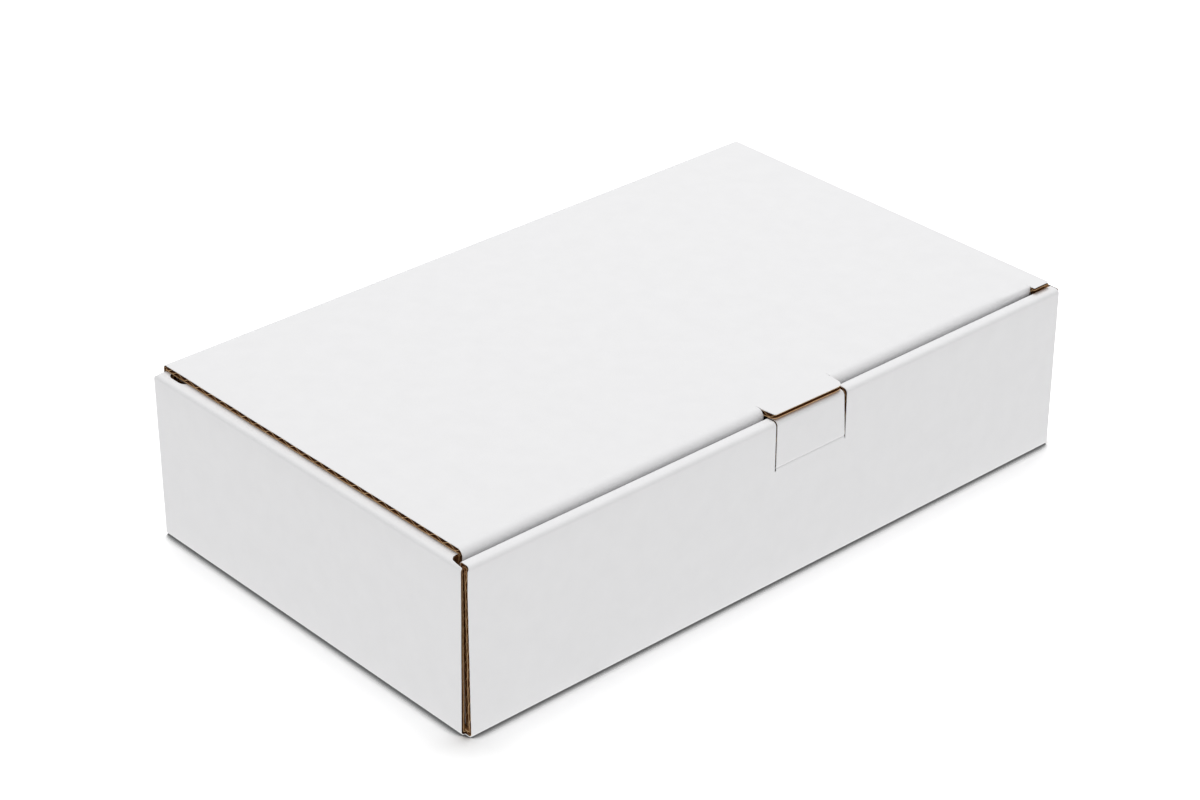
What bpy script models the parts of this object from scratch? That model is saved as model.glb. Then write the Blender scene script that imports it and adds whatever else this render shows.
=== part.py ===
"""A white corrugated mailer box, folded from one die-cut sheet.

Metres, +Z up. X runs along the long side, -Y is the front with the lock, +Y is the hinge side.
The origin is on the floor, under the middle of the base.

The tray is the base with its four walls. The side walls and the front wall roll over at the top
and come down again inside. The corner flaps of the back wall lie between the two layers of each
side wall, and lock tabs of the inner side panels stand in slots of the base.
The lid hangs on the crease along the top of the back wall. Its tuck flap goes down behind the
front wall, and its lip, cut out of that flap, lies over the press-in tab of the front wall.
"""

import math

import bmesh
import bpy
from mathutils import Matrix, Vector

# Outside of the box
LENGTH = 0.360
WIDTH = 0.214
WALL_HEIGHT = 0.0826
LID_GAP = 0.0004

# Board and folds
BOARD = 0.0028
LAYER_GAP = 0.0004
FRONT_LAYER_GAP = 0.0006
FOLD_OUTSIDE_RADIUS = 0.0016
FOLD_INSIDE_RADIUS = 0.0003
ROLL_OUTSIDE_RADIUS = 0.0018
HINGE_GAP = 0.0003
HINGE_EDGE_FLAT = 0.0002
BASE_OVERLAP = 0.020
FOLD_STEPS = 5

# Side walls
SIDE_FRONT_SETBACK = 0.0040
SIDE_BACK_SETBACK = 0.0008
CORNER_FLAP_LENGTH = 0.080
CORNER_FLAP_TOP_GAP = 0.0006
LOCK_TAB_LENGTH = 0.040
LOCK_TAB_SPACING = 0.110
LOCK_TAB_TIP = 0.0004
LOCK_SLOT_PLAY = 0.0008
CORNER_NOTCH_LENGTH = 0.0068
CORNER_NOTCH_EDGE = 0.0012
CORNER_NOTCH_DEPTH = 0.0100
CORNER_NOTCH_RADIUS = 0.0034
FINGER_NOTCH_LENGTH = 0.0140
FINGER_NOTCH_FROM_BACK = 0.0055
FINGER_NOTCH_EDGE = 0.0048
FINGER_NOTCH_RADIUS = 0.0040

# Front wall
FRONT_END_INSET = 0.0020

# Lid
LID_LEFT_INSET = 0.00585
LID_RIGHT_INSET = 0.00425
FLAP_DEPTH = 0.045
FLAP_LEAN = math.radians(7.0)
FLAP_CLEARANCE = 0.0004
FLAP_FOLD_RADIUS = 0.0030
FLAP_EAR_DEPTH = 0.0085
FLAP_SIDE_PLAY = 0.0030
FLAP_BOTTOM_RADIUS = 0.0120
FLAP_RIGHT_RELIEF = 0.0130
FLAP_STEP_LENGTH = 0.0145
FLAP_STEP_RECESS = 0.0012
LID_CORNER_REACH = 0.0034

# Lock: the press-in tab of the front wall and the lip of the lid over it
TAB_CENTRE = 0.0159
TAB_WIDTH = 0.0422
TAB_HEIGHT = 0.0231
TAB_TAPER = 0.0012
SLIT_WIDTH = 0.0007
TAB_WINDOW_DROP = 0.0040
LIP_OVER_TAB = 0.0002
LIP_FRONT_INSET = 0.0007
LIP_LEFT_RADIUS = 0.0007
LIP_RIGHT_RADIUS = 0.0040
FLAP_WINDOW_PLAY = 0.0005

# Places worked out from the sizes above
LEFT, RIGHT = -LENGTH / 2, LENGTH / 2
FRONT, BACK = -WIDTH / 2, WIDTH / 2
FRONT_THICKNESS = 2 * BOARD + FRONT_LAYER_GAP
SIDE_THICKNESS = 3 * BOARD + 2 * LAYER_GAP
INNER_BOTTOM = BOARD + LAYER_GAP
UNDER_ROLL = WALL_HEIGHT - BOARD
LID_UNDERSIDE = WALL_HEIGHT + LID_GAP
LID_TOP = LID_UNDERSIDE + BOARD
HINGE_Y = BACK - BOARD / 2
HINGE_Z = LID_TOP - BOARD / 2
BACK_WALL_TOP = LID_UNDERSIDE - HINGE_GAP
LID_LEFT = LEFT + LID_LEFT_INSET
LID_RIGHT = RIGHT - LID_RIGHT_INSET
CORNER_FLAP_OUTSIDE = RIGHT - BOARD - LAYER_GAP
INSIDE_HALF_LENGTH = RIGHT - SIDE_THICKNESS
FRONT_HALF_LENGTH = RIGHT - FRONT_END_INSET
FLAP_FRONT = FRONT + FRONT_THICKNESS + FLAP_CLEARANCE
FLAP_RIGHT = LID_RIGHT - FLAP_RIGHT_RELIEF
FLAP_BOTTOM = LID_TOP - FLAP_DEPTH
PANEL_FRONT = FLAP_FRONT + FLAP_FOLD_RADIUS + BOARD
STRIP_END = PANEL_FRONT + 2 * BOARD
TAB_LEFT = TAB_CENTRE - TAB_WIDTH / 2
TAB_RIGHT = TAB_CENTRE + TAB_WIDTH / 2
TAB_SCORE_HEIGHT = WALL_HEIGHT - TAB_HEIGHT
TAB_AXIS_Y = FRONT + BOARD / 2
LIP_LEFT = TAB_LEFT - LIP_OVER_TAB
LIP_RIGHT = TAB_RIGHT + LIP_OVER_TAB
BEYOND = 0.004

AXES = {"x": (1, 2, 0), "y": (0, 2, 1), "z": (0, 1, 2)}


def rounded_outline(corners, steps=FOLD_STEPS):
    """Points of a closed outline whose corners (a, b, radius) are rounded by arcs."""
    points = []
    count = len(corners)
    for index, (a, b, radius) in enumerate(corners):
        corner = Vector((a, b))
        if not radius:
            points.append(corner)
            continue
        to_last = (Vector(corners[index - 1][:2]) - corner).normalized()
        to_next = (Vector(corners[(index + 1) % count][:2]) - corner).normalized()
        half_angle = to_last.angle(to_next) / 2
        middle = (to_last + to_next).normalized()
        centre = corner + middle * (radius / math.sin(half_angle))
        start = corner + to_last * (radius / math.tan(half_angle)) - centre
        turn = start.angle_signed(corner + to_next * (radius / math.tan(half_angle)) - centre)
        for step in range(steps + 1):
            points.append(centre + Matrix.Rotation(-turn * step / steps, 2) @ start)
    return points


def prism(name, corners, axis, low, high):
    """A solid with this rounded outline, extruded along an axis from low to high.

    The outline is in (y, z) for axis x, (x, z) for axis y and (x, y) for axis z.
    """
    first, second, along = AXES[axis]
    mesh = bpy.data.meshes.new(name)
    shape = bmesh.new()
    bottom = []
    for a, b in rounded_outline(corners):
        place = [0.0, 0.0, 0.0]
        place[first], place[second], place[along] = a, b, low
        bottom.append(shape.verts.new(place))
    face = shape.faces.new(bottom)
    extruded = bmesh.ops.extrude_face_region(shape, geom=[face])
    offset = Vector((0.0, 0.0, 0.0))
    offset[along] = high - low
    moved = [item for item in extruded["geom"] if isinstance(item, bmesh.types.BMVert)]
    bmesh.ops.translate(shape, verts=moved, vec=offset)
    bmesh.ops.recalc_face_normals(shape, faces=shape.faces)
    shape.to_mesh(mesh)
    shape.free()
    solid = bpy.data.objects.new(name, mesh)
    bpy.context.scene.collection.objects.link(solid)
    return solid


def block(name, low, high):
    """A plain block between two opposite corners."""
    corners = [(low[0], low[1], 0), (high[0], low[1], 0), (high[0], high[1], 0), (low[0], high[1], 0)]
    return prism(name, corners, "z", low[2], high[2])


def combine(solid, helpers, operation, solver="EXACT"):
    """Joins helper solids to a solid, or cuts them out of it, and hides them."""
    for helper in helpers:
        change = solid.modifiers.new(f"{operation.title()} {helper.name}", "BOOLEAN")
        change.operation = operation
        change.object = helper
        change.solver = solver
        helper.hide_render = True
        helper.display_type = "WIRE"


def give_material(solid, name, colour, roughness):
    """Gives a solid its own board material."""
    material = bpy.data.materials.new(name)
    material.use_nodes = True
    shader = material.node_tree.nodes["Principled BSDF"]
    shader.inputs["Base Color"].default_value = (*colour, 1.0)
    shader.inputs["Roughness"].default_value = roughness
    shader.inputs["Metallic"].default_value = 0.0
    solid.data.materials.append(material)


def hang_on_axis(solid, place):
    """Parents a solid to an empty at a point of its joint's axis, without moving the solid."""
    axis = bpy.data.objects.new(f"{solid.name}_axis", None)
    bpy.context.scene.collection.objects.link(axis)
    axis.location = place
    solid.parent = axis
    solid.location = -Vector(place)


def front_section(depth):
    """Section across the base and the front wall, which rolls over and comes down inside.

    The corners go up the outside of the sheet and come back along its inside.
    """
    inner_face = FRONT + FRONT_THICKNESS
    return [
        (depth, 0, 0),
        (FRONT, 0, FOLD_OUTSIDE_RADIUS),
        (FRONT, WALL_HEIGHT, ROLL_OUTSIDE_RADIUS),
        (inner_face, WALL_HEIGHT, ROLL_OUTSIDE_RADIUS),
        (inner_face, INNER_BOTTOM, 0),
        (inner_face - BOARD, INNER_BOTTOM, 0),
        (inner_face - BOARD, UNDER_ROLL, 0),
        (FRONT + BOARD, UNDER_ROLL, 0),
        (FRONT + BOARD, BOARD, FOLD_INSIDE_RADIUS),
        (depth, BOARD, 0),
    ]


def side_section(side, reach):
    """Section across the base and one side wall with its roll-over, mirrored by side -1 or 1."""
    outer = side * RIGHT
    inner = side * INSIDE_HALF_LENGTH
    inner_back = inner + side * BOARD
    outer_back = outer - side * BOARD
    return [
        (side * reach, 0, 0),
        (outer, 0, FOLD_OUTSIDE_RADIUS),
        (outer, WALL_HEIGHT, ROLL_OUTSIDE_RADIUS),
        (inner, WALL_HEIGHT, ROLL_OUTSIDE_RADIUS),
        (inner, INNER_BOTTOM, 0),
        (inner_back, INNER_BOTTOM, 0),
        (inner_back, UNDER_ROLL, FOLD_INSIDE_RADIUS),
        (outer_back, UNDER_ROLL, FOLD_INSIDE_RADIUS),
        (outer_back, BOARD, FOLD_INSIDE_RADIUS),
        (side * reach, BOARD, 0),
    ]


def back_section(depth):
    """Section across the base and the back wall up to the lid's crease."""
    return [
        (depth, 0, 0),
        (BACK, 0, FOLD_OUTSIDE_RADIUS),
        (BACK, BACK_WALL_TOP, FOLD_INSIDE_RADIUS),
        (BACK - BOARD, BACK_WALL_TOP, 0),
        (BACK - BOARD, BOARD, FOLD_INSIDE_RADIUS),
        (depth, BOARD, 0),
    ]


def corner_flaps():
    """Plan of the back wall with a corner flap folded forward at each end."""
    flap_end = BACK - CORNER_FLAP_LENGTH
    outside = CORNER_FLAP_OUTSIDE
    inside = outside - BOARD
    plan = [
        (-outside, flap_end, 0),
        (-outside, BACK, FOLD_OUTSIDE_RADIUS),
        (outside, BACK, FOLD_OUTSIDE_RADIUS),
        (outside, flap_end, 0),
        (inside, flap_end, 0),
        (inside, BACK - BOARD, FOLD_INSIDE_RADIUS),
        (-inside, BACK - BOARD, FOLD_INSIDE_RADIUS),
        (-inside, flap_end, 0),
    ]
    return prism("corner_flaps", plan, "z", INNER_BOTTOM, UNDER_ROLL - CORNER_FLAP_TOP_GAP)


def lock_tab_places():
    """Middle of each lock tab of one inner side panel, along Y."""
    return [-LOCK_TAB_SPACING / 2, LOCK_TAB_SPACING / 2]


def side_pieces(side):
    """What is joined to the tray and cut from it at one side wall, as two lists."""
    name = "left" if side < 0 else "right"
    wall = prism(
        f"{name}_wall",
        side_section(side, FRONT_HALF_LENGTH - BASE_OVERLAP),
        "y",
        FRONT + SIDE_FRONT_SETBACK,
        BACK - SIDE_BACK_SETBACK,
    )
    inner = side * INSIDE_HALF_LENGTH
    inner_back = inner + side * BOARD
    tabs, slots = [], []
    for index, middle in enumerate(lock_tab_places()):
        tab_edges = sorted((inner, inner_back))
        half = LOCK_TAB_LENGTH / 2
        tabs.append(
            block(
                f"{name}_lock_tab_{index}",
                (tab_edges[0], middle - half, LOCK_TAB_TIP),
                (tab_edges[1], middle + half, INNER_BOTTOM + BOARD),
            )
        )
        slots.append(
            block(
                f"{name}_lock_slot_{index}",
                (tab_edges[0] - LAYER_GAP, middle - half - LOCK_SLOT_PLAY, -BEYOND),
                (tab_edges[1] + LAYER_GAP, middle + half + LOCK_SLOT_PLAY, INNER_BOTTOM - LAYER_GAP / 2),
            )
        )
    return wall, tabs, slots


def corner_notch(side):
    """Cutters for the front end of a side roll-over, where the front wall and the tuck flap pass."""
    name = "left" if side < 0 else "right"
    inside = side * (INSIDE_HALF_LENGTH - BEYOND)
    back = FRONT + SIDE_FRONT_SETBACK + CORNER_NOTCH_LENGTH
    edge = side * (RIGHT - CORNER_NOTCH_EDGE)
    plan = [
        (inside, FRONT - BEYOND, 0),
        (edge, FRONT - BEYOND, 0),
        (edge, back, CORNER_NOTCH_RADIUS),
        (inside, back, 0),
    ]
    top = prism(f"{name}_corner_notch", plan, "z", UNDER_ROLL - LAYER_GAP, WALL_HEIGHT + BEYOND)
    panel_side = sorted((inside, side * (RIGHT - BOARD - LAYER_GAP / 2)))
    panel = block(
        f"{name}_panel_notch",
        (panel_side[0], FRONT - BEYOND, WALL_HEIGHT - CORNER_NOTCH_DEPTH),
        (panel_side[1], back, UNDER_ROLL),
    )
    return [top, panel]


def inner_panel_end(side):
    """Cutter that keeps an inner side panel clear of the front wall's inner panel."""
    name = "left" if side < 0 else "right"
    reach = sorted((side * (INSIDE_HALF_LENGTH - BEYOND), side * (RIGHT - BOARD - LAYER_GAP / 2)))
    return block(
        f"{name}_inner_end",
        (reach[0], FRONT - BEYOND, INNER_BOTTOM - LAYER_GAP / 2),
        (reach[1], FRONT + FRONT_THICKNESS + LAYER_GAP, UNDER_ROLL),
    )


def finger_notch(side):
    """Cutter for the rounded notch near the back end of a side roll-over."""
    name = "left" if side < 0 else "right"
    inside = side * (INSIDE_HALF_LENGTH - BEYOND)
    edge = side * (RIGHT - FINGER_NOTCH_EDGE)
    back = BACK - FINGER_NOTCH_FROM_BACK
    front = back - FINGER_NOTCH_LENGTH
    plan = [
        (inside, front, 0),
        (edge, front, FINGER_NOTCH_RADIUS),
        (edge, back, FINGER_NOTCH_RADIUS),
        (inside, back, 0),
    ]
    return prism(f"{name}_finger_notch", plan, "z", UNDER_ROLL - LAYER_GAP, WALL_HEIGHT + BEYOND)


def tab_outline(clearance, taper):
    """Front view of the press-in tab, whose right edge leans in by a taper, or of the cut round it."""
    top = WALL_HEIGHT + BEYOND
    return [
        (TAB_LEFT - clearance, TAB_SCORE_HEIGHT, 0),
        (TAB_RIGHT + clearance, TAB_SCORE_HEIGHT, 0),
        (TAB_RIGHT + clearance - taper, top, 0),
        (TAB_LEFT - clearance, top, 0),
    ]


def build_tray():
    """The base and its walls, one folded sheet."""
    tray = prism("tray", front_section(0.0), "x", -FRONT_HALF_LENGTH, FRONT_HALF_LENGTH)
    front_inner_end = []
    for side in (-1, 1):
        reach = sorted((side * CORNER_FLAP_OUTSIDE, side * (RIGHT + BEYOND)))
        front_inner_end.append(
            block(
                f"front_inner_end_{side}",
                (reach[0], FRONT + BOARD + LAYER_GAP / 2, BOARD + LAYER_GAP / 2),
                (reach[1], FRONT + FRONT_THICKNESS + BEYOND, UNDER_ROLL),
            )
        )
    combine(tray, front_inner_end, "DIFFERENCE")
    back = prism("back_wall", back_section(-BASE_OVERLAP), "x", LID_LEFT, LID_RIGHT)
    walls, tabs, slots = [], [], []
    for side in (-1, 1):
        wall, side_tabs, side_slots = side_pieces(side)
        combine(wall, corner_notch(side) + [inner_panel_end(side), finger_notch(side)], "DIFFERENCE")
        walls.append(wall)
        tabs += side_tabs
        slots += side_slots
    combine(tray, walls + [back, corner_flaps()], "UNION")
    combine(tray, slots, "DIFFERENCE")
    combine(tray, tabs, "UNION")
    cutout = prism(
        "tab_cutout",
        tab_outline(SLIT_WIDTH, 0),
        "y",
        FRONT - BEYOND,
        FRONT + FRONT_THICKNESS + BEYOND,
    )
    window = block(
        "tab_window",
        (TAB_LEFT - SLIT_WIDTH, FRONT + BOARD + FRONT_LAYER_GAP / 2, TAB_SCORE_HEIGHT - TAB_WINDOW_DROP),
        (TAB_RIGHT + SLIT_WIDTH, FRONT + FRONT_THICKNESS + BEYOND, WALL_HEIGHT + BEYOND),
    )
    combine(tray, [cutout, window], "DIFFERENCE")
    give_material(tray, "white_board_tray", (0.80, 0.80, 0.80), 0.55)
    return tray


def build_front_tab():
    """The press-in tab with its short roll-over, on its score in the front wall."""
    bottom = TAB_SCORE_HEIGHT + HINGE_GAP
    section = [
        (FRONT, bottom, 0),
        (FRONT, WALL_HEIGHT, ROLL_OUTSIDE_RADIUS),
        (FRONT + FRONT_THICKNESS, WALL_HEIGHT, 0),
        (FRONT + FRONT_THICKNESS, UNDER_ROLL, 0),
        (FRONT + BOARD, UNDER_ROLL, FOLD_INSIDE_RADIUS),
        (FRONT + BOARD, bottom, 0),
    ]
    tab = prism("front_tab", section, "x", TAB_LEFT - BEYOND, TAB_RIGHT + BEYOND)
    behind = FRONT + FRONT_THICKNESS + BEYOND
    shape = prism("tab_shape", tab_outline(0, TAB_TAPER), "y", FRONT - BEYOND, behind)
    combine(tab, [shape], "INTERSECT")
    give_material(tab, "white_board_tab", (0.80, 0.80, 0.80), 0.55)
    hang_on_axis(tab, (TAB_CENTRE, TAB_AXIS_Y, TAB_SCORE_HEIGHT + HINGE_GAP / 2))
    return tab


def flap_section(recess):
    """Section across the front of the lid, its fold and the tuck flap leaning in behind the front wall.

    The flap runs on past its lower edge, where its outline cuts it.
    """
    top = FLAP_FRONT + recess
    low = FLAP_BOTTOM - BEYOND
    foot = top + (LID_TOP - low) * math.tan(FLAP_LEAN)
    across = BOARD / math.cos(FLAP_LEAN)
    inner_corner = top + across + BOARD * math.tan(FLAP_LEAN)
    return [
        (STRIP_END, LID_TOP, 0),
        (top, LID_TOP, FLAP_FOLD_RADIUS),
        (foot, low, 0),
        (foot + across, low, 0),
        (inner_corner, LID_UNDERSIDE, FOLD_INSIDE_RADIUS),
        (STRIP_END, LID_UNDERSIDE, 0),
    ]


def flap_outline():
    """Front view of the tuck flap: an ear at the left under the lid's edge, then clear of the walls."""
    above = LID_TOP + BEYOND
    ear = LID_TOP - FLAP_EAR_DEPTH
    left = FLAP_SIDE_PLAY - INSIDE_HALF_LENGTH
    return [
        (LID_LEFT, above, 0),
        (LID_LEFT, ear, BOARD / 2),
        (left, ear, BOARD / 2),
        (left, FLAP_BOTTOM, FLAP_BOTTOM_RADIUS),
        (FLAP_RIGHT, FLAP_BOTTOM, FLAP_BOTTOM_RADIUS),
        (FLAP_RIGHT, above, 0),
    ]


def lip_window():
    """Cutter for the window that the lip leaves in the tuck flap, as deep as the lip is long."""
    lip_length = FLAP_FRONT + FLAP_FOLD_RADIUS - (FRONT + LIP_FRONT_INSET)
    fold_length = math.pi / 2 * (FLAP_FOLD_RADIUS - BOARD / 2)
    window_bottom = LID_TOP - FLAP_FOLD_RADIUS - (lip_length - fold_length)
    return block(
        "lip_window",
        (LIP_LEFT - FLAP_WINDOW_PLAY, FRONT - BEYOND, window_bottom),
        (LIP_RIGHT + FLAP_WINDOW_PLAY, PANEL_FRONT, LID_TOP + BEYOND),
    )


def build_tuck_flap():
    """The tuck flap with its fold, set back a step near its right end, and the lip's window in it."""
    step = FLAP_RIGHT - FLAP_STEP_LENGTH
    flap = prism("tuck_flap", flap_section(0.0), "x", LID_LEFT - BEYOND, step)
    recessed = prism(
        "tuck_flap_step", flap_section(FLAP_STEP_RECESS), "x", step - BOARD, FLAP_RIGHT + BEYOND
    )
    outline = prism("tuck_flap_outline", flap_outline(), "y", FRONT - BEYOND, STRIP_END + FLAP_DEPTH)
    combine(flap, [recessed], "UNION", "MANIFOLD")
    combine(flap, [outline], "INTERSECT", "MANIFOLD")
    combine(flap, [lip_window()], "DIFFERENCE", "MANIFOLD")
    return flap


def build_lid():
    """The lid panel with its round hinge edge, tuck flap and lip, one sheet."""
    back_radius = (BOARD - HINGE_EDGE_FLAT) / 2
    panel_section = [
        (PANEL_FRONT, LID_TOP, 0),
        (BACK, LID_TOP, back_radius),
        (BACK, LID_UNDERSIDE, back_radius),
        (PANEL_FRONT, LID_UNDERSIDE, 0),
    ]
    lid = prism("lid", panel_section, "x", LID_LEFT, LID_RIGHT)
    lip_plan = [
        (LIP_LEFT, STRIP_END, 0),
        (LIP_LEFT, FRONT + LIP_FRONT_INSET, LIP_LEFT_RADIUS),
        (LIP_RIGHT, FRONT + LIP_FRONT_INSET, LIP_RIGHT_RADIUS),
        (LIP_RIGHT, STRIP_END, 0),
    ]
    lip = prism("lip", lip_plan, "z", LID_UNDERSIDE, LID_TOP)
    corner = block(
        "lid_corner",
        (FLAP_RIGHT - BOARD, FLAP_FRONT - LID_CORNER_REACH, LID_UNDERSIDE),
        (LID_RIGHT, STRIP_END, LID_TOP),
    )
    combine(lid, [build_tuck_flap(), lip, corner], "UNION", "MANIFOLD")
    give_material(lid, "white_board_lid", (0.84, 0.84, 0.84), 0.55)
    hang_on_axis(lid, ((LID_LEFT + LID_RIGHT) / 2, HINGE_Y, HINGE_Z))
    return lid


def main():
    for old in list(bpy.data.objects):
        bpy.data.objects.remove(old, do_unlink=True)
    build_tray()
    build_lid()
    build_front_tab()


main()
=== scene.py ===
"""The looks of the white corrugated mailer box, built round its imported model.

The board is shown as what it is made of: a white liner outside, a brown kraft liner inside and a
fluted sheet between them, folded along the creases of the die-cut blank and open at its cut edges.
"""
import math

import bpy
import numpy as np
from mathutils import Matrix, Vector


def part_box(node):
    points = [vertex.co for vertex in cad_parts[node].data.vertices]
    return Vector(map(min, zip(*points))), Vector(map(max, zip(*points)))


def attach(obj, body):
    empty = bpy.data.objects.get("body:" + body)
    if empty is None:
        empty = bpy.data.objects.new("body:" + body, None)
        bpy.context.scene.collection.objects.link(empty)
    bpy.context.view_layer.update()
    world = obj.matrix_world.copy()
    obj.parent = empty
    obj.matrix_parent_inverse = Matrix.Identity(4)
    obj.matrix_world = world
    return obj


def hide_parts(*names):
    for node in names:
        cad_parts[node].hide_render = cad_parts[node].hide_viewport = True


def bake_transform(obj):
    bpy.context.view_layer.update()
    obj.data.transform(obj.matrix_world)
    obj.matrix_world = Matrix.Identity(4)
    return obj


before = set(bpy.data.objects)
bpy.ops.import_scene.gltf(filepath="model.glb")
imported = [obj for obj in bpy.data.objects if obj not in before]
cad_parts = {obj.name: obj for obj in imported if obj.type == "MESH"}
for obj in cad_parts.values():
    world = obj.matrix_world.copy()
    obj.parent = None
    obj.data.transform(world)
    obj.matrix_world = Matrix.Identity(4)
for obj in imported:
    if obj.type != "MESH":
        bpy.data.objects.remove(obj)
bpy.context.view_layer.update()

# Outside sizes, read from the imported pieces. The score lies in the middle of the gap under the tab
tray_low, tray_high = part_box("tray")
lid_low, lid_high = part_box("lid")
tab_low, tab_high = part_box("front_tab")
LEFT, RIGHT = tray_low.x, tray_high.x
FRONT, BACK = tray_low.y, tray_high.y
WALL_TOP = tab_high.z
LID_LEFT, LID_RIGHT = lid_low.x, lid_high.x
LID_TOP = lid_high.z
FLAP_BOTTOM = lid_low.z
LIP_FRONT = lid_low.y
TAB_LEFT, TAB_RIGHT = tab_low.x, tab_high.x
SCORE_GAP = 0.0003
SCORE_HEIGHT = tab_low.z - SCORE_GAP / 2

# Board, in metres: its thickness, a liner's and the fluted sheet's, and its flutes
BOARD = 0.0028
LINER = 0.0004
MEDIUM = 0.00026
FLUTE_PITCH = 0.0085
FLUTE_STEPS = 8

# The flutes stay clear of the liners by this share of the board's thickness
FLUTE_PLAY = 0.002

# Cut edges: how far the fluted sheet's lie back, the sines that all of them wander by, and the
# angle from which an edge is drawn sharp
EDGE_SET_BACK = 0.00004
EDGE_WANDER = 0.00008
WANDER_LENGTHS = np.array([0.0021, 0.0043, 0.0088, 0.017, 0.031])
WANDER_SHARES = np.array([0.125, 0.175, 0.25, 0.35, 0.4])
FAR_EDGE_SEED = 50
SHARP_ANGLE = math.radians(38)

# Folds: outer radii, the share of the thickness that creasing leaves, and how far rows lie apart.
# JUMP is the step to a twin row, and NEAR the play when places are compared
BOTTOM_RADIUS = 0.0017
ROLL_RADIUS = 0.0021
ROLL_INNER_RADIUS = 0.0012
INSIDE_RADIUS = 0.0003
ROLL_SQUEEZE = 0.62
FOLD_SQUEEZE = 0.8
SQUEEZE_REACH = 0.0016
ARC_PIECES = 8
JUMP = 0.00015
NEAR = 0.0001
COARSE = 0.0120
FLAP_SPACING = 0.0015
LIP_SPACING = 0.0004
CORNER_SPACING = 0.0006
CREASE_SPACING = 0.0008
SCORE_SPACING = 0.0003

# Walls
LAYER_GAP = 0.0004
FRONT_GAP = 0.0006
FRONT_THICKNESS = 2 * BOARD + FRONT_GAP
SIDE_THICKNESS = 3 * BOARD + 2 * LAYER_GAP
INNER_BOTTOM = BOARD + LAYER_GAP
FRONT_END = RIGHT - 0.0020
FRONT_INNER_END = RIGHT - BOARD - 2 * LAYER_GAP
FRONT_ROLL_RECESS = 0.0012
FRONT_ROLL_REACH = 0.0030
SIDE_FRONT_LOW = FRONT + 0.0043
SIDE_FRONT_HIGH = FRONT + 0.0019
SIDE_BACK = BACK - 0.0008
SIDE_BACK_ROUNDING = 0.0010
SIDE_SEAM = RIGHT - 0.0045
SIDE_SEAM_BACK = BACK - BOARD - 0.0010
INNER_PANEL_FRONT = FRONT + FRONT_THICKNESS + LAYER_GAP
INNER_PANEL_BACK = BACK - BOARD - LAYER_GAP
CORNER_FLAP_END = BACK - 0.080
CORNER_FLAP_TOP = WALL_TOP - BOARD - 0.0006
CORNER_FLAP_ROUNDING = 0.010
CORNER_FLAP_OUTSIDE = RIGHT - BOARD - LAYER_GAP
BACK_WALL_HALF = RIGHT - 0.0064
SEAM_OVERLAP = 0.00015
LOCK_TABS = (-0.055, 0.055)
LOCK_TAB_HALF = 0.020
LOCK_TAB_TIP = 0.0004
SLOT_PLAY = 0.0008

# How far the walls' cut ends are pressed together: the share of the board's thickness that is left
SIDE_END_PINCH = (0.60, 0.38)
FRONT_END_PINCH = 0.66
FRONT_PINCH_FADES = (WALL_TOP - 0.0120, WALL_TOP - 0.0030)
END_REACH = 0.0040

# Notches in the side roll-overs, and marks across those, as distances in from the outer face
FRONT_NOTCH_FOOT = 0.0009
FRONT_NOTCH_EDGE = 0.0014
FRONT_NOTCH_BACK = FRONT + 0.0108
FRONT_NOTCH_RADIUS = 0.0034
FRONT_NOTCH_BOTTOM = WALL_TOP - 0.0100
BACK_NOTCH_EDGE = 0.0039
BACK_NOTCH = (BACK - 0.0180, BACK - 0.0050)
BACK_NOTCH_RADIUS = 0.0040
OVER_ROWS = np.arange(0.0033, 0.0060, 0.0005)

# Lid, its tuck flap and its lip
FLAP_FRONT = FRONT + FRONT_THICKNESS + 0.0008
FLAP_LEAN = math.radians(7.0)
FLAP_RADIUS = 0.0034
FLAP_EAR = 0.0085
FLAP_LEFT = LEFT + SIDE_THICKNESS + 0.0030
FLAP_RIGHT = LID_RIGHT - 0.0100
FLAP_BOTTOM_RADIUS = 0.0120
FLAP_STEP = LID_RIGHT - 0.0275
FLAP_STEP_LENGTH = 0.0016
FLAP_SQUARED = 0.0014
PANEL_FRONT = FLAP_FRONT + FLAP_RADIUS + 0.0024
CORNER_FRONT = FRONT + 0.0047
CORNER_SQUEEZE = 0.46
LIP_LEFT = TAB_LEFT - 0.0013
LIP_RIGHT = TAB_RIGHT - 0.0003
LIP_LEFT_LEAN = 0.0011
LIP_RIGHT_LEAN = 0.0010
LIP_LEFT_RADIUS = 0.0010
LIP_RIGHT_RADIUS = 0.0034
LIP_SKEW = 0.0008
LIP_SQUEEZE = 0.80
LIP_WINDOW_BOTTOM = LID_TOP - 0.0150
WINDOW_PLAY = 0.00002

# The lid's crease and the tab's score
CREASE_REACH = 0.0066
CREASE_LOW = LID_TOP - CREASE_REACH
CREASE_FRONT = BACK - CREASE_REACH
CREASE_RADIUS = 0.0024
CREASE_SQUEEZE = 0.72
SCORE_REACH = 0.0015
SCORE_GROOVE = 0.0003
SCORE_GROOVE_HALF = 0.0007
SCORE_PRESSED = (0.0004, 0.0020)

# Lock
SLIT_LEFT = 0.0009
SLIT_RIGHT = 0.0006
TAB_TAPER = 0.0014
WINDOW_DROP = 0.0040

# Papers: the darkest and the lightest tone, in linear light for white and in sRGB bytes for brown
WHITE_TONES = ((0.832, 0.83, 0.838), (0.852, 0.85, 0.858))
# The white liner's cut edges are lighter than its face: a painted highlight along those rims
WHITE_CUT_HIGHLIGHT_TONES = ((0.94, 0.94, 0.94), (0.97, 0.97, 0.97))
KRAFT_TONES = ((172, 124, 78), (202, 154, 104))
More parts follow.
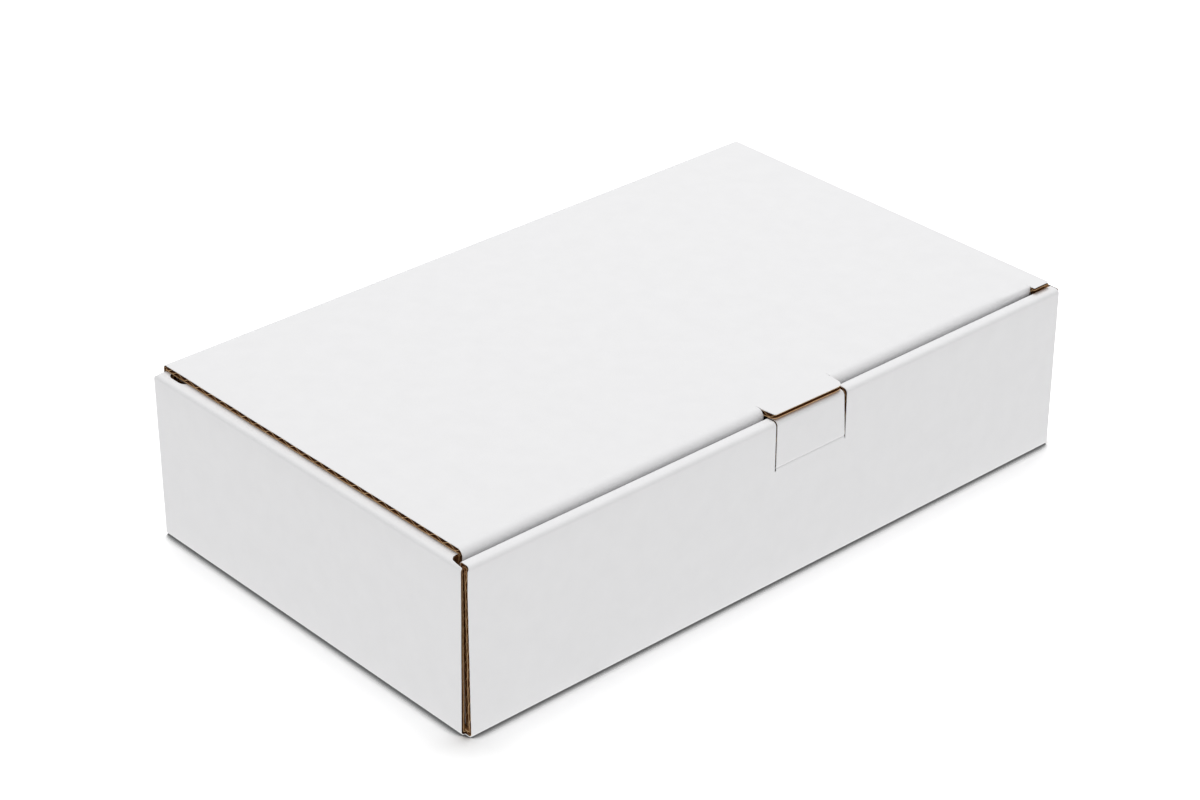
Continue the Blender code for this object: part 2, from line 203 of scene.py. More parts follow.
# The fluted sheet's brown is partly its own colour and partly painted shade: darker than its paper for
# the shade inside the hollow flutes. It is also laid on the liners' faces towards the flutes as painted
# shade
FLUTING_AND_HOLLOW_SHADE_TONES = ((108, 66, 32), (146, 98, 56))
LINER_CUT_TONES = ((192, 146, 98), (228, 192, 146))
WHITE_ROUGHNESS = 0.62
KRAFT_ROUGHNESS = 0.8
PAPER_SHINE = 0.25
TOOTH_DEPTH = 0.0003
FIBRE_STRETCH = (1.0, 0.25, 1.0)

# Light. The floor's shade close to the box is by the share of open space that a spot sees
SURROUND = 0.46
LAMP_POWER = 55.5
LAMP_SIZE = 2.1
LAMP_PLACE = Vector((0.50, 0.60, 2.88))
FLOOR_GLOW = 1.24
FLOOR_SEEN = 1.35
FLOOR_GAP = 0.0001
FLOOR_REACH = 12.0
CONTACT_REACH = 0.008
CONTACT_SAMPLES = 16
CONTACT_SHADE = (
    (0.50, 0.12),
    (0.55, 0.26),
    (0.60, 0.46),
    (0.66, 0.70),
    (0.71, 0.87),
    (0.76, 0.96),
    (0.86, 1.00),
    (1.00, 1.00),
)

# Camera, fitted to the straight edges of the box in the photograph
IMAGE_WIDTH = 1200
FOCAL_PIXELS = 3081.7
SENSOR = 36.0
CAMERA_TURN = math.radians(-131.92)
CAMERA_RISE = math.radians(29.636)
CAMERA_DISTANCE = 1.43046
CAMERA_TARGET = Vector((0.00577, 0.01922, 0.0360))
CAMERA_SEES = 50


def smooth(value, low, high):
    """A share that rises from 0 at low to 1 at high along a smooth step."""
    t = np.clip((value - low) / (high - low), 0.0, 1.0)
    return t * t * (3.0 - 2.0 * t)


def round_off(distance, radius):
    """How far a rounded corner's edge lies back from the square one, at this distance along it."""
    left = np.clip(radius - distance, 0.0, radius)
    return radius - np.sqrt(radius**2 - left**2)


def ragged(place, seed):
    """The small wander of a cut edge along its length: a sum of sines of 2 to 30 mm."""
    random = np.random.default_rng(seed)
    phases = random.uniform(0, 2 * math.pi, len(WANDER_LENGTHS))
    sines = np.sin(2 * math.pi * place[..., None] / WANDER_LENGTHS + phases)
    return EDGE_WANDER * (sines * WANDER_SHARES).sum(axis=-1)


# Board and its folds

class Fold:
    """A folded stretch of board: a path across the creases, carried along the third axis.

    corners lists (name, a, b, radius) along the board's outer face. A corner with a radius is a
    crease; one without is a mark on a straight run, with a twin row just after it where an edge
    may jump. side says on which side of the path the inner face lies, and squeezes lists (first
    corner, last corner, share) where creasing has crushed the board to that share.
    """

    def __init__(self, corners, side, axis, spacing, squeezes=()):
        self.axis = axis
        names = [corner[0] for corner in corners]
        outside = [corner[1:] for corner in corners]
        inside = self.inside_corners(outside, side)
        points = np.array([corner[:2] for corner in outside])
        lengths = np.linalg.norm(np.diff(points, axis=0), axis=1)
        rows = np.maximum(1, np.ceil(lengths / spacing)).astype(int)
        self.outer, marks = self.path(outside, rows)
        self.inner, _ = self.path(inside, rows)
        self.mark = dict(zip(names, marks))
        steps = np.linalg.norm(np.diff(self.outer, axis=0), axis=1)
        self.length = np.concatenate([[0.0], np.cumsum(steps)])
        self.row = np.arange(len(self.length))
        share = np.ones(len(self.length))
        for first, last, squeeze in squeezes:
            low = self.length[self.mark[first]] - SQUEEZE_REACH
            high = self.length[self.mark[last]] + SQUEEZE_REACH
            dip = smooth(self.length, low - SQUEEZE_REACH, low + SQUEEZE_REACH)
            dip *= 1 - smooth(self.length, high - SQUEEZE_REACH, high + SQUEEZE_REACH)
            share = np.minimum(share, 1 - (1 - squeeze) * dip)
        self.inner = self.outer + (self.inner - self.outer) * share[:, None]

    @staticmethod
    def inside_corners(corners, side):
        """The corners of the board's other face: each moves a board's thickness along its bisector."""
        points = np.array([corner[:2] for corner in corners])
        runs = np.diff(points, axis=0)
        runs /= np.linalg.norm(runs, axis=1)[:, None]
        normals = side * np.stack([-runs[:, 1], runs[:, 0]], axis=1)
        before = np.concatenate([normals[:1], normals])
        after = np.concatenate([normals, normals[-1:]])
        shift = (before + after) / (1 + np.sum(before * after, axis=1))[:, None]
        moved = points + shift * BOARD
        return [
            (place[0], place[1], INSIDE_RADIUS if corner[2] else 0)
            for place, corner in zip(moved, corners)
        ]

    @staticmethod
    def path(corners, rows):
        """Points along straight runs and arcs. An arc turns its radius evenly from run to run."""
        points = [np.array(corner[:2]) for corner in corners]
        start = points[0]
        pieces, marks, count = [start[None]], [0], 1
        for index in range(1, len(corners)):
            corner, radius = points[index], corners[index][2]
            back = points[index - 1] - corner
            back /= np.linalg.norm(back)
            if radius:
                ahead = points[index + 1] - corner
                ahead /= np.linalg.norm(ahead)
                half = math.acos(np.clip(back @ ahead, -1, 1)) / 2
                end = corner + back * radius / math.tan(half)
            else:
                end = corner
            if corners[index - 1][2] == 0 and index > 1:
                start = start - back * JUMP
                pieces.append(start[None])
                count += 1
            run = start + (end - start) * np.linspace(0, 1, rows[index - 1] + 1)[1:, None]
            pieces.append(run)
            count += len(run)
            if not radius:
                marks.append(count - 1)
                start = end
                continue
            last = corner + ahead * radius / math.tan(half)
            centre = corner + (back + ahead) / np.linalg.norm(back + ahead) * radius / math.sin(half)
            turn = math.pi - 2 * half
            u = np.linspace(0, 1, ARC_PIECES + 1)[1:, None]
            first_share, last_share = np.sin((1 - u) * turn), np.sin(u * turn)
            arc = centre + (first_share * (end - centre) + last_share * (last - centre)) / math.sin(turn)
            pieces.append(arc)
            marks.append(count - 1 + ARC_PIECES // 2)
            count += ARC_PIECES
            start = last
        return np.concatenate(pieces), marks

    def past(self, name):
        """Which rows lie past a corner."""
        return self.row > self.mark[name]

    def between(self, first, last):
        """Which rows of cells lie between two corners, as a column."""
        cells = self.row[:-1, None]
        return (cells >= self.mark[first]) & (cells < self.mark[last])

    def place(self, depth, along):
        """Points at a share of the board's depth, 0 outside and 1 inside, and at places along."""
        reach = self.inner - self.outer
        a = self.outer[:, :1] + reach[:, :1] * depth + 0 * along
        b = self.outer[:, 1:] + reach[:, 1:] * depth + 0 * along
        return np.stack({"x": (along, a, b), "y": (a, along, b), "z": (a, b, along)}[self.axis], axis=-1)


def rail_grid(rails, width):
    """Columns between rails, evenly spread in each gap, and which gap each column of cells is in."""
    columns, gaps = [rails[0][:, None]], []
    for index in range(len(rails) - 1):
        low, high = rails[index], rails[index + 1]
        count = max(1, int(math.ceil((high - low).max() / width)))
        u = np.linspace(0, 1, count + 1)[1:]
        columns.append(low[:, None] + (high - low)[:, None] * u)
        gaps += [index] * count
    return np.concatenate(columns, axis=1), np.array(gaps)


def shell(top, bottom, present, sheet):
    """A closed shell between two grids of points: both faces of the cells present, and their rims.

    Returns points, quads, a number for each quad (0 on the top face, 1 on a rim, 2 below) and the
    place on the flat sheet of each point.
    """
    rows, columns = top.shape[:2]
    index = np.arange(rows * columns).reshape(rows, columns)
    under = index + rows * columns
    a, b, c, d = index[:-1, :-1], index[1:, :-1], index[1:, 1:], index[:-1, 1:]
    upper = np.stack([a, b, c, d], -1)[present]
    lower = np.stack([a, d, c, b], -1)[present] + rows * columns
    framed = np.pad(present, 1).astype(int)
    across = framed[1:, 1:-1] - framed[:-1, 1:-1]
    down = framed[1:-1, 1:] - framed[1:-1, :-1]
    rims = []
    for change, first, second in (
        (across, (index[:, :-1], index[:, 1:]), (under[:, :-1], under[:, 1:])),
        (down, (index[1:], index[:-1]), (under[1:], under[:-1])),
    ):
        rim = np.stack([first[0], first[1], second[1], second[0]], -1)
        rims += [rim[change == 1], rim[change == -1][:, ::-1]]
    rims = np.concatenate(rims)
    faces = np.concatenate([upper, rims, lower])
    kinds = np.repeat([0, 1, 2], [len(upper), len(rims), len(lower)])
    points = np.concatenate([top.reshape(-1, 3), bottom.reshape(-1, 3)])
    places = np.concatenate([sheet.reshape(-1, 3)] * 2)
    used, faces = np.unique(faces, return_inverse=True)
    faces = faces.reshape(-1, 4)
    points, places = points[used], places[used]
    corners = points[faces]
    area = np.cross(corners[:, 2] - corners[:, 0], corners[:, 3] - corners[:, 1])
    if (corners.mean(axis=1) * area).sum() < 0:
        faces = faces[:, ::-1]
    return points, faces, kinds, places


def as_cut(points):
    """Leaves a stretch of board as its fold makes it."""
    return points


def unpressed(fold, along):
    """Leaves the board's thickness as its fold makes it."""
    return 1.0


class Layers:
    """The board of one body, collected layer by layer as closed shells."""

    def __init__(self):
        self.white, self.kraft, self.flutes = [], [], []

    def add(self, make_fold, rails, holes, flutes, seed, reshape=as_cut, pinch=unpressed):
        """Adds one folded stretch of the sheet: two even liners, and between them the fluted sheet,
        whose depth in the board is a cosine of the place on the flat sheet.

        make_fold(spacing) gives its path. rails(fold) lists where its edges and cuts lie along
        the third axis, holes(fold, gap) says which cells between those rails are cut away, and
        flutes says if they run "along" the third axis or "across" the creases. reshape(points)
        moves the finished points, and pinch(fold, along) is the share of the thickness that is
        left where a cut end is pressed together.
        """
        liner = LINER / BOARD
        swing = 0.5 - liner - MEDIUM / BOARD / 2 - FLUTE_PLAY
        fine = FLUTE_PITCH / FLUTE_STEPS
        wavy_rows, wavy_cells = (fine, COARSE) if flutes == "along" else (COARSE, fine)
        for number, (shells, rows, cells, set_back) in enumerate((
            (self.white, COARSE, COARSE, 0.0),
            (self.kraft, COARSE, COARSE, 0.0),
            (self.flutes, wavy_rows, wavy_cells, EDGE_SET_BACK),
        )):
            fold = make_fold(rows)
            along, gap, sheet = self.grid(fold, rails, cells, set_back, seed + number)
            travel = sheet[..., 0] if flutes == "along" else sheet[..., 1]
            wave = 0.5 + swing * np.cos(2 * math.pi * travel / FLUTE_PITCH)
            middle, thick = ((liner / 2, liner), (1 - liner / 2, liner), (wave, MEDIUM / BOARD))[number]
            pressed = pinch(fold, along)
            top = reshape(fold.place((middle - thick / 2) * pressed, along))
            bottom = reshape(fold.place((middle + thick / 2) * pressed, along))
            cut_away = holes(fold, gap[None, :]) | np.zeros((len(fold.length) - 1, len(gap)), bool)
            shells.append(shell(top, bottom, ~cut_away, sheet))

    @staticmethod
    def grid(fold, rails, width, set_back, seed):
        """Places along the third axis at each row, the gap that each column of cells is in, and the
        place on the flat sheet: along the path, then along the third axis."""
        cuts = [np.broadcast_to(rail, fold.length.shape).astype(float) for rail in rails(fold)]
        cuts[0] = cuts[0] + set_back + ragged(fold.length, seed)
        cuts[-1] = cuts[-1] - set_back + ragged(fold.length, seed + FAR_EDGE_SEED)
        along, gap = rail_grid(cuts, width)
        sheet = np.stack([fold.length[:, None] + 0 * along, along, 0 * along], -1)
        return along, gap, sheet


def no_holes(fold, gap):
    """Leaves a stretch of board whole."""
    return False


# Tray

def tray_fold(spacing):
    """From the lid's crease down the back wall, across the base, up the front wall and down inside."""
    inner_face = FRONT + FRONT_THICKNESS
    corners = [
        ("crease", BACK, CREASE_LOW, 0),
        ("flap top", BACK, CORNER_FLAP_TOP, 0),
        ("back fold", BACK, 0, BOTTOM_RADIUS),
        ("side back", SIDE_SEAM_BACK, 0, 0),
    ]
    for name, place in zip(("back slots", "front slots"), LOCK_TABS[::-1]):
        reach = LOCK_TAB_HALF + SLOT_PLAY
        corners += [(f"{name} start", place + reach, 0, 0), (f"{name} end", place - reach, 0, 0)]
    corners += [
        ("side front", SIDE_FRONT_LOW, 0, 0),
        ("front fold", FRONT, 0, BOTTOM_RADIUS),
        ("score", FRONT, SCORE_HEIGHT - SCORE_REACH, 0),
        ("roll", FRONT, WALL_TOP, ROLL_RADIUS),
        ("roll end", inner_face, WALL_TOP, ROLL_INNER_RADIUS),
        ("inner end", inner_face, WALL_TOP - BOARD - LAYER_GAP, 0),
        ("window bottom", inner_face, SCORE_HEIGHT - WINDOW_DROP, 0),
        ("foot", inner_face, INNER_BOTTOM, 0),
    ]
    squeezes = [
        ("back fold", "back fold", FOLD_SQUEEZE),
        ("front fold", "front fold", FOLD_SQUEEZE),
        ("roll", "roll end", ROLL_SQUEEZE),
    ]
    return Fold(corners, -1, "x", spacing, squeezes)


def tray_rails(fold):
    """The long strip's two ends, wider or narrower from part to part, and the cuts between them.

    The front roll's left end draws in along a smooth step of the height.
    """
    left, right = LID_LEFT + 0 * fold.length, LID_RIGHT + 0 * fold.length
    for name, half in (
        ("flap top", BACK_WALL_HALF),
        ("side back", SIDE_SEAM),
        ("side front", FRONT_END),
        ("inner end", FRONT_INNER_END),
    ):
        left[fold.past(name)] = -half
        right[fold.past(name)] = half
    rise = smooth(fold.outer[:, 1], WALL_TOP - FRONT_ROLL_REACH, WALL_TOP)
    recess = np.where(fold.past("roll"), 1, rise)
    left = left + FRONT_ROLL_RECESS * recess * (fold.past("front fold") & ~fold.past("inner end"))
    slot_out = RIGHT - SIDE_THICKNESS + BOARD + LAYER_GAP
    slot_in = RIGHT - SIDE_THICKNESS - LAYER_GAP
    slits = [TAB_LEFT - SLIT_LEFT, TAB_RIGHT + SLIT_RIGHT]
    return [left, -slot_out, -slot_in, *slits, slot_in, slot_out, right]


def front_end_pinch(fold, along):
    """The front wall's cut ends are pressed together a little below its roll: most at the end, and
    less along a smooth step inward and another one up to the roll."""
    ends = 1 - smooth(np.minimum(along - along[:, :1], along[:, -1:] - along), 0, END_REACH)
    below = 1 - smooth(fold.outer[:, 1:], *FRONT_PINCH_FADES)
    wall = fold.outer[:, :1] < FRONT + NEAR
    return 1 - (1 - FRONT_END_PINCH) * ends * below * wall


def tray_holes(fold, gap):
    """The four lock slots of the base and the cut for the press-in tab. Counted from 0 at the left,
    the slots lie in gaps 1 and 5 between the rails, and the tab in gap 3."""
    slots = fold.between("back slots start", "back slots end")
    slots = slots | fold.between("front slots start", "front slots end")
    tab = fold.between("score", "window bottom")
    return slots & ((gap == 1) | (gap == 5)) | tab & (gap == 3)


def side_fold(side):
    """From the base out, up a side wall, over its top and down inside, to the tips of its lock tabs."""
    outer, inner = side * RIGHT, side * (RIGHT - SIDE_THICKNESS)

    def make(spacing):
        """The path on one side, with its rows this far apart."""
        corners = [
            ("seam", side * SIDE_SEAM, 0, 0),
            ("bottom", outer, 0, BOTTOM_RADIUS),
            ("roll", outer, WALL_TOP, ROLL_RADIUS),
            *[("over", side * (RIGHT - inward), WALL_TOP, 0) for inward in OVER_ROWS],
            ("roll end", inner, WALL_TOP, ROLL_RADIUS),
            ("inner top", inner, WALL_TOP - BOARD - LAYER_GAP, 0),
            ("notch bottom", inner, FRONT_NOTCH_BOTTOM, 0),
            ("foot", inner, INNER_BOTTOM, 0),
            ("tips", inner, LOCK_TAB_TIP, 0),
        ]
        squeezes = [("bottom", "bottom", FOLD_SQUEEZE), ("roll", "roll end", ROLL_SQUEEZE)]
        return Fold(corners, side, "y", spacing, squeezes)

    return make


def side_rails(fold):
    """The side strip's front and back ends with the notch at the front, the lock tabs' sides and the
    rounded finger notch near the back.

    The front end leans evenly with the height. Both notches are straight cuts with their corners
    rounded off by circles, and the back end is rounded off by one at its top.
    """
    height = fold.outer[:, 1]
    over = (height > WALL_TOP / 2) | fold.past("roll")
    inward = np.where(over, RIGHT - np.abs(fold.outer[:, 0]), 0.0)
    front = SIDE_FRONT_LOW + (SIDE_FRONT_HIGH - SIDE_FRONT_LOW) * height / WALL_TOP
    notch = FRONT_NOTCH_BACK - round_off(inward - FRONT_NOTCH_EDGE, FRONT_NOTCH_RADIUS)
    slant = np.clip((inward - FRONT_NOTCH_FOOT) / (FRONT_NOTCH_EDGE - FRONT_NOTCH_FOOT), 0, 1)
    front = front + (notch - front) * slant
    front[fold.past("notch bottom")] = INNER_PANEL_FRONT
    drop = np.where(fold.past("roll"), 0.0, WALL_TOP - height)
    back = SIDE_BACK - round_off(drop, SIDE_BACK_ROUNDING)
    back[fold.past("inner top")] = INNER_PANEL_BACK
    inset = round_off(inward - BACK_NOTCH_EDGE, BACK_NOTCH_RADIUS)
    tab_sides = [place + sign * LOCK_TAB_HALF for place in LOCK_TABS for sign in (-1, 1)]
    return [front, front + END_REACH, *tab_sides, BACK_NOTCH[0] + inset, BACK_NOTCH[1] - inset, back]


def side_end_pinch(fold, along):
    """The front end of a side wall is pressed together: evenly more with the height, and evenly less
    inward from the end."""
    height = np.clip(fold.outer[:, 1:] / WALL_TOP, 0, 1)
    low, high = SIDE_END_PINCH
    pressed = 1 - (low + (high - low) * height)
    return 1 - pressed * np.clip(1 - (along - along[:, :1]) / END_REACH, 0, 1)


def side_holes(fold, gap):
    """The finger notch across the roll, and the cuts beside and between the lock tabs. Counted from
    0 at the front, the tabs lie in gaps 2 and 4 between the rails, and the notch in gap 6."""
    inward = RIGHT - np.abs(fold.outer[:-1, :1])
    notch = fold.between("roll", "inner top") & (inward > BACK_NOTCH_EDGE - NEAR)
    return notch & (gap == 6) | fold.between("foot", "tips") & (gap != 2) & (gap != 4)


def corner_flap_fold(side):
    """Round from the back wall into a corner flap, between the layers of the side wall."""
    outer = side * CORNER_FLAP_OUTSIDE

    def make(spacing):
        """The path on one side, with its rows this far apart."""
        corners = [
            ("wall", side * (BACK_WALL_HALF - SEAM_OVERLAP), BACK, 0),
            ("corner", outer, BACK, BOTTOM_RADIUS),
            ("end", outer, CORNER_FLAP_END, 0),
        ]
        return Fold(corners, -side, "z", spacing, [("corner", "corner", FOLD_SQUEEZE)])

    return make


def corner_flap_rails(fold):
    """A corner flap's lower and upper edges, rounded towards its free end."""
    left = fold.length[-1] - fold.length
    inset = round_off(left, CORNER_FLAP_ROUNDING)
    return [INNER_BOTTOM + inset, CORNER_FLAP_TOP - inset]


def make_tray():
    """The tray's board: the long strip, two side strips and two corner flaps."""
    board = Layers()
    board.add(tray_fold, tray_rails, tray_holes, "along", seed=1, pinch=front_end_pinch)
    for side in (-1, 1):
        board.add(side_fold(side), side_rails, side_holes, "across", seed=10 + side, pinch=side_end_pinch)
        board.add(corner_flap_fold(side), corner_flap_rails, no_holes, "across", seed=20 + side)
    return board


# Lid, and the crease that it turns on

def lid_panel_fold(spacing):
    """The flat lid from its crease to just behind the fold of the tuck flap."""
    corners = [("crease", CREASE_FRONT, LID_TOP, 0), ("front", PANEL_FRONT, LID_TOP, 0)]
    return Fold(corners, 1, "x", spacing)


def lid_rails(fold):
    """The lid panel's two sides, and the places where the lip and the flap begin and end."""
    return [LID_LEFT, LIP_LEFT, LIP_RIGHT, FLAP_RIGHT, LID_RIGHT]


def flap_fold(spacing):
    """From the lid over its front fold and down the tuck flap, which leans in."""
    corners = [("panel", PANEL_FRONT, LID_TOP, 0), ("fold", FLAP_FRONT, LID_TOP, FLAP_RADIUS)]
    for name, height in (
        ("ear", LID_TOP - FLAP_EAR),
        ("window", LIP_WINDOW_BOTTOM),
        ("round", FLAP_BOTTOM + FLAP_BOTTOM_RADIUS),
        ("foot", FLAP_BOTTOM),
    ):
        corners.append((name, FLAP_FRONT + (LID_TOP - height) * math.tan(FLAP_LEAN), height, 0))
    return Fold(corners, 1, "x", min(spacing, FLAP_SPACING), [("fold", "fold", FOLD_SQUEEZE)])


def flap_rails(fold):
    """The tuck flap's edges: an ear above on the left, then straight, then round at the foot."""
    rounding = round_off(fold.outer[:, 1] - FLAP_BOTTOM, FLAP_BOTTOM_RADIUS)
    left = np.where(fold.past("ear"), FLAP_LEFT + rounding, LID_LEFT)
    right = FLAP_RIGHT - rounding
    steps = [np.minimum(right - play, FLAP_STEP - play) for play in (FLAP_STEP_LENGTH, 0.0)]
    return [left, LIP_LEFT - WINDOW_PLAY, LIP_RIGHT + WINDOW_PLAY, *steps, right]


def flap_holes(fold, gap):
    """The window that the lip leaves. Counted from 0 at the left, it is gap 1 between the rails."""
    return fold.between("panel", "window") & (gap == 1)


def flap_squared(points):
    """Right of a short step the fold is squarer: the middle of its round is drawn out towards the
    corner that it rounds off, by twice the product of its shares of the way back and up."""
    share = smooth(points[..., 0], FLAP_STEP - FLAP_STEP_LENGTH, FLAP_STEP)
    back = np.clip((FLAP_FRONT - points[..., 1]) / FLAP_RADIUS + 1, 0, 1)
    up = np.clip((points[..., 2] - LID_TOP) / FLAP_RADIUS + 1, 0, 1)
    push = FLAP_SQUARED * math.sqrt(2) * share * back * up
    return points + np.stack([0 * push, -push, np.minimum(push, LID_TOP - points[..., 2])], -1)


def lip_fold(spacing):
    """The flat lip, from the lid's panel out over the press-in tab."""
    back_of_round = LIP_FRONT + LIP_RIGHT_RADIUS
    corners = [
        ("panel", PANEL_FRONT, LID_TOP, 0),
        ("round", back_of_round, LID_TOP, 0),
        ("front", LIP_FRONT, LID_TOP, 0),
    ]
    return Fold(corners, 1, "x", min(spacing, LIP_SPACING), [("front", "front", LIP_SQUEEZE)])


def lip_rails(fold):
    """The lip's sides, which lean in evenly towards its front corners, and those rounded by circles."""
    ahead = fold.outer[:, 0] - LIP_FRONT
    lean = 1 - ahead / (PANEL_FRONT - LIP_FRONT)
    left = LIP_LEFT + LIP_LEFT_LEAN * lean + round_off(ahead, LIP_LEFT_RADIUS)
    right = LIP_RIGHT - LIP_RIGHT_LEAN * lean - round_off(ahead, LIP_RIGHT_RADIUS)
    return [left, right]


def lip_skewed(points):
    """Draws the lip's front edge back, evenly more towards its left end and along a smooth step
    towards the front."""
    share = (LIP_RIGHT - points[..., 0]) / (LIP_RIGHT - LIP_LEFT)
    ahead = smooth(-points[..., 1], -PANEL_FRONT, -LIP_FRONT)
    moved = points.copy()
    moved[..., 1] += LIP_SKEW * share * ahead
    return moved


def corner_fold(spacing):
    """The flat right front corner of the lid, beside the tuck flap, pressed thin at its front edge."""
    corners = [("panel", PANEL_FRONT, LID_TOP, 0), ("front", CORNER_FRONT, LID_TOP, 0)]
    return Fold(corners, 1, "x", min(spacing, CORNER_SPACING), [("front", "front", CORNER_SQUEEZE)])


def corner_rails(fold):
    """The right front corner's two sides."""
    return [FLAP_RIGHT, LID_RIGHT]


def make_lid():
    """The lid's board: its panel, the tuck flap, the lip and the right corner."""
    board = Layers()
    board.add(lid_panel_fold, lid_rails, no_holes, "along", seed=30)
    board.add(flap_fold, flap_rails, flap_holes, "along", seed=33, reshape=flap_squared)
    board.add(lip_fold, lip_rails, no_holes, "along", seed=39, reshape=lip_skewed)
    board.add(corner_fold, corner_rails, no_holes, "along", seed=42)
    return board


def crease_fold(spacing):
    """Round the lid's crease, from the back wall into the lid."""
    corners = [
        ("wall", BACK, CREASE_LOW, 0),
        ("crease", BACK, LID_TOP, CREASE_RADIUS),
        ("lid", CREASE_FRONT, LID_TOP, 0),
    ]
    return Fold(corners, 1, "x", min(spacing, CREASE_SPACING), [("crease", "crease", CREASE_SQUEEZE)])


def crease_rails(fold):
    """The crease's two ends."""
    return [LID_LEFT, LID_RIGHT]


def make_lid_crease():
    """The board of the lid's crease, as wide as the lid."""
    board = Layers()
    board.add(crease_fold, crease_rails, no_holes, "along", seed=45)
    return board


# Press-in tab and its score

def tab_rails(fold):
    """The press-in tab's sides. The right one leans in evenly along the path, up to the wall's top."""
    rise = np.clip((fold.length + SCORE_REACH) / (WALL_TOP - SCORE_HEIGHT), 0, 1)
    return [TAB_LEFT, TAB_RIGHT - TAB_TAPER * rise]


def tab_fold(spacing):
    """From the score up the front wall and over its top, where the tab ends under the lip."""
    corners = [
        ("score", FRONT, SCORE_HEIGHT + SCORE_REACH, 0),
        ("roll", FRONT, WALL_TOP, ROLL_RADIUS),
        ("end", FRONT + FRONT_THICKNESS, WALL_TOP, 0),
    ]
    return Fold(corners, -1, "x", spacing, [("roll", "end", ROLL_SQUEEZE)])


def make_front_tab():
    """The press-in tab's board above its score."""
    board = Layers()
    board.add(tab_fold, tab_rails, no_holes, "along", seed=48)
    return board


def score_fold(spacing):
    """The stretch of front wall that bends at the tab's score."""
    corners = [
        ("below", FRONT, SCORE_HEIGHT - SCORE_REACH, 0),
        ("score", FRONT, SCORE_HEIGHT, 0),
        ("above", FRONT, SCORE_HEIGHT + SCORE_REACH, 0),
    ]
    return Fold(corners, -1, "x", min(spacing, SCORE_SPACING))


def score_grooved(points):
    """Presses a shallow groove into the outer face along the score: a smooth step away from the
    score on both sides, which fades through the board's depth along another one."""
    near = 1 - smooth(np.abs(points[..., 2] - SCORE_HEIGHT), 0, SCORE_GROOVE_HALF)
    outer = 1 - smooth(points[..., 1] - FRONT, *SCORE_PRESSED)
    moved = points.copy()
    moved[..., 1] += SCORE_GROOVE * near * outer
    return moved


def score_rails(fold):
    """The two ends of the tab's score."""
    return [TAB_LEFT, TAB_RIGHT]


def make_tab_score():
    """The board that bends at the tab's score, as wide as the tab."""
    board = Layers()
    board.add(score_fold, score_rails, no_holes, "along", seed=51, reshape=score_grooved)
    return board


# Meshes and papers

def mesh_piece(name, shells, materials):
    """One object from closed shells. materials are those of the top face, the rim and the face below."""
    starts = np.cumsum([0] + [len(part[0]) for part in shells])
    points = np.concatenate([part[0] for part in shells])
    faces = np.concatenate([part[1] + start for part, start in zip(shells, starts)])
    kinds = np.concatenate([part[2] for part in shells])
    places = np.concatenate([part[3] for part in shells])
    mesh = bpy.data.meshes.new(name)
    mesh.from_pydata(points, [], faces)
    for material in materials:
        mesh.materials.append(material)
    mesh.polygons.foreach_set("material_index", kinds.astype(np.int32))
    mesh.shade_smooth()
    mesh.set_sharp_from_angle(angle=SHARP_ANGLE)
    sheet = mesh.attributes.new("sheet_place", "FLOAT_VECTOR", "POINT")
    sheet.data.foreach_set("vector", places.astype(np.float32).ravel())
    mesh.update()
    piece = bpy.data.objects.new(name, mesh)
    bpy.context.scene.collection.objects.link(piece)
    return piece


class Nodes:
    """A material's node tree, with short ways to add to it."""

    def __init__(self, name, roughness):
        self.material = bpy.data.materials.new(name)
        self.material.use_nodes = True
        self.tree = self.material.node_tree
        self.shader = self.tree.nodes["Principled BSDF"]
        self.shader.inputs["Roughness"].default_value = roughness
        self.shader.inputs["Specular IOR Level"].default_value = PAPER_SHINE
        place = self.tree.nodes.new("ShaderNodeAttribute")
        place.attribute_name = "sheet_place"
        self.sheet = place.outputs["Vector"]
        self.object = self.tree.nodes.new("ShaderNodeTexCoord").outputs["Object"]

    def link(self, source, target):
        """Joins an output to an input."""
        self.tree.links.new(source, target)

    def scaled(self, source, scale):
        """Places stretched by a factor for each axis."""
        node = self.tree.nodes.new("ShaderNodeVectorMath")
        node.operation = "MULTIPLY"
        node.inputs[1].default_value = scale
        self.link(source, node.inputs[0])
        return node.outputs["Vector"]

    def noise(self, source, scale, detail, roughness=0.5):
        """Cloudy noise over places, as a grey value."""
        node = self.tree.nodes.new("ShaderNodeTexNoise")
        node.inputs["Scale"].default_value = scale
        node.inputs["Detail"].default_value = detail
        node.inputs["Roughness"].default_value = roughness
        self.link(source, node.inputs["Vector"])
        return node.outputs["Fac"]

    def ramp(self, source, stops):
        """A grey value turned into colours, by stops of a place and a colour."""
        node = self.tree.nodes.new("ShaderNodeValToRGB")
        for element, (place, colour) in zip(node.color_ramp.elements, stops):
            element.position = place
            element.color = (*colour, 1.0)
        self.link(source, node.inputs["Fac"])
        return node.outputs["Color"]

    def bump(self, height, strength):
        """A normal roughened by the paper's tooth."""
        node = self.tree.nodes.new("ShaderNodeBump")
        node.inputs["Strength"].default_value = strength
        node.inputs["Distance"].default_value = TOOTH_DEPTH
        self.link(height, node.inputs["Height"])
        return node.outputs["Normal"]


def linear(red, green, blue):
    """A colour given as sRGB bytes, in linear light."""
    share = np.array([red, green, blue]) / 255
    return tuple(np.where(share <= 0.04045, share / 12.92, ((share + 0.055) / 1.055) ** 2.4))


def white_liner_material(name, dark, light):
    """Clay-coated white liner: almost even, with cloudy formation and a faint paper tooth."""
    nodes = Nodes(name, WHITE_ROUGHNESS)
    clouds = nodes.noise(nodes.sheet, scale=90, detail=4, roughness=0.6)
    colour = nodes.ramp(clouds, [(0.30, dark), (0.70, light)])
    nodes.link(colour, nodes.shader.inputs["Base Color"])
    tooth = nodes.noise(nodes.object, scale=1400, detail=3)
    nodes.link(nodes.bump(tooth, strength=0.12), nodes.shader.inputs["Normal"])
    return nodes.material


